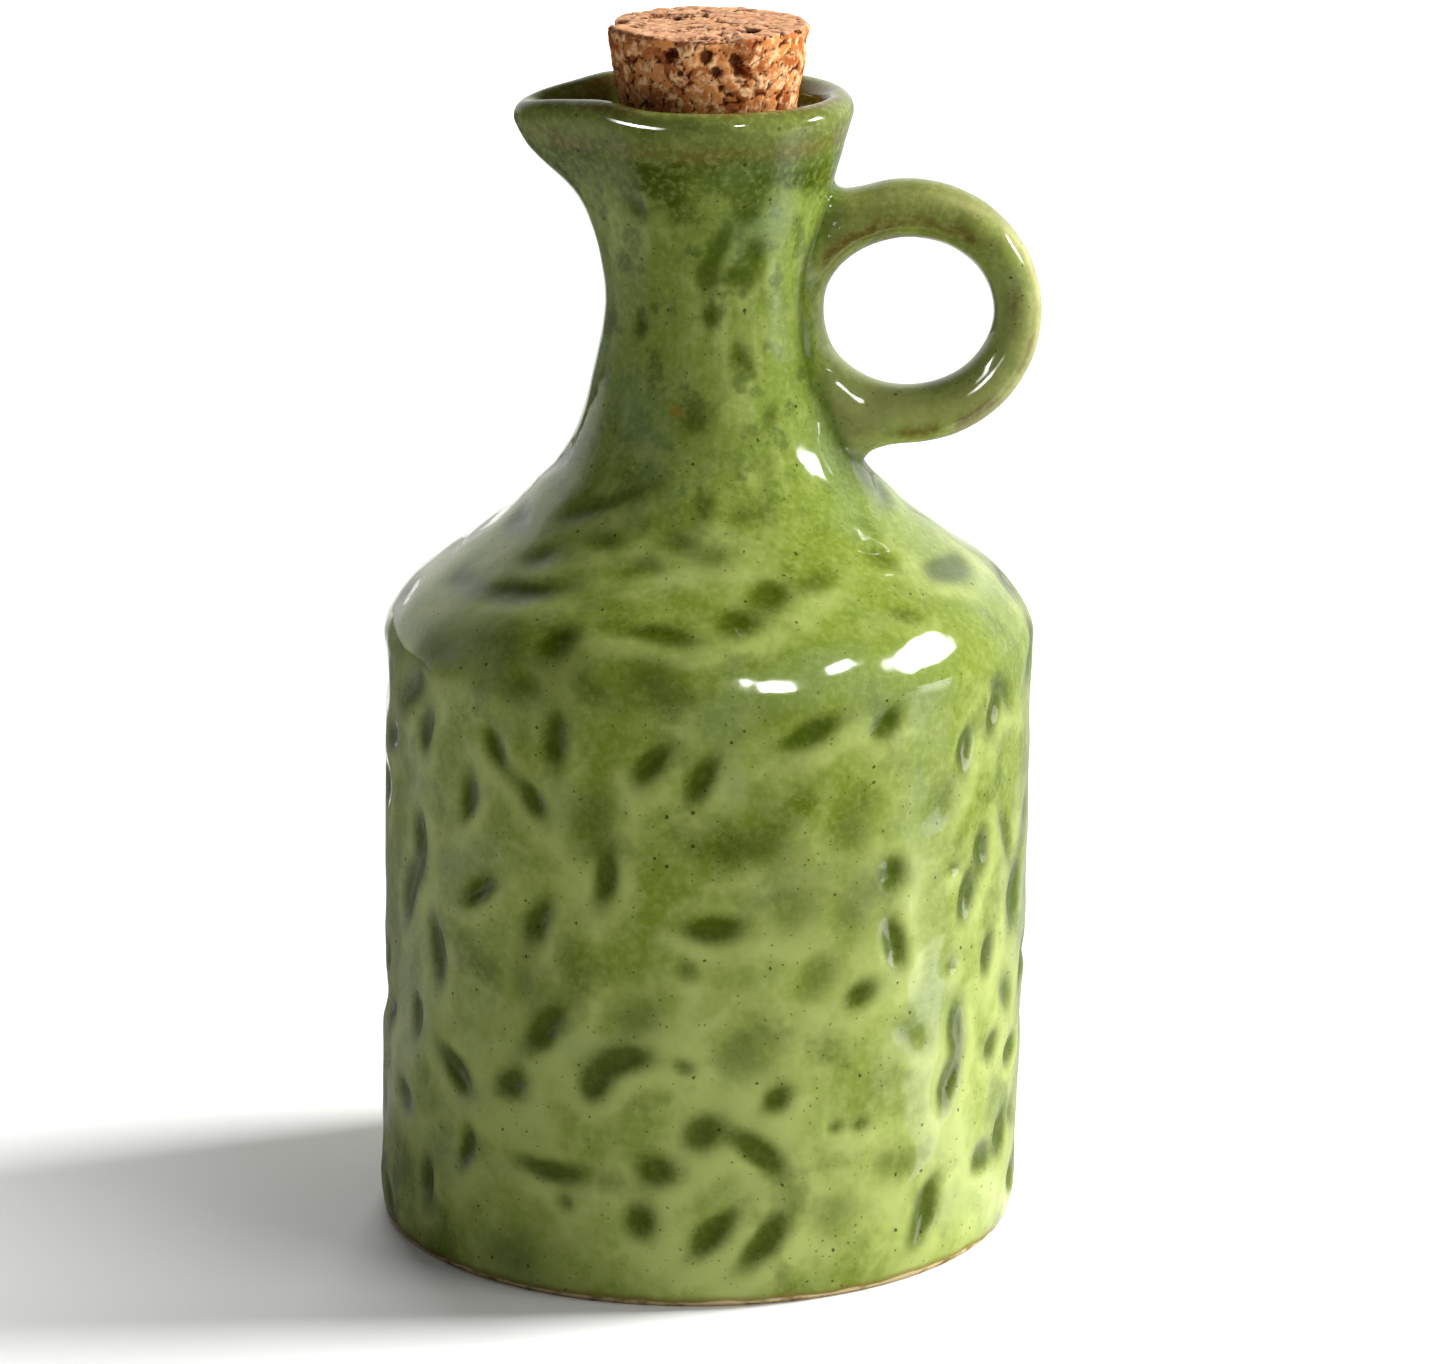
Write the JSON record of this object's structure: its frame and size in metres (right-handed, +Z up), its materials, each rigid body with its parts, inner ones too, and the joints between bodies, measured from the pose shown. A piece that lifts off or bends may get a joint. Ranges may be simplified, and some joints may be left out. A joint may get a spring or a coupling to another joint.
{
  "type": "ceramic oil dispenser",
  "caption": "Round stoneware oil dispenser with a beaten wall, sloping shoulder, pulled spout, ring handle and tapered cork, glazed green.",
  "frame": {"origin": "middle of the foot, on the surface it stands on, below the neck's own axis", "axes": "+Z up along the neck, -X towards the spout, +X towards the ring handle"},
  "size_m": [0.0952, 0.0926, 0.1742],
  "materials": {
    "glaze": "glossy mottled green glaze, darker where it pools in the hollows and olive brown where it breaks over edges, with bare buff clay at the foot",
    "cork": "pressed cork granules with dark seams and pits"
  },
  "bodies": {
    "root": {"bottle": "glaze", "cork": "cork"}
  },
  "joints": []
}
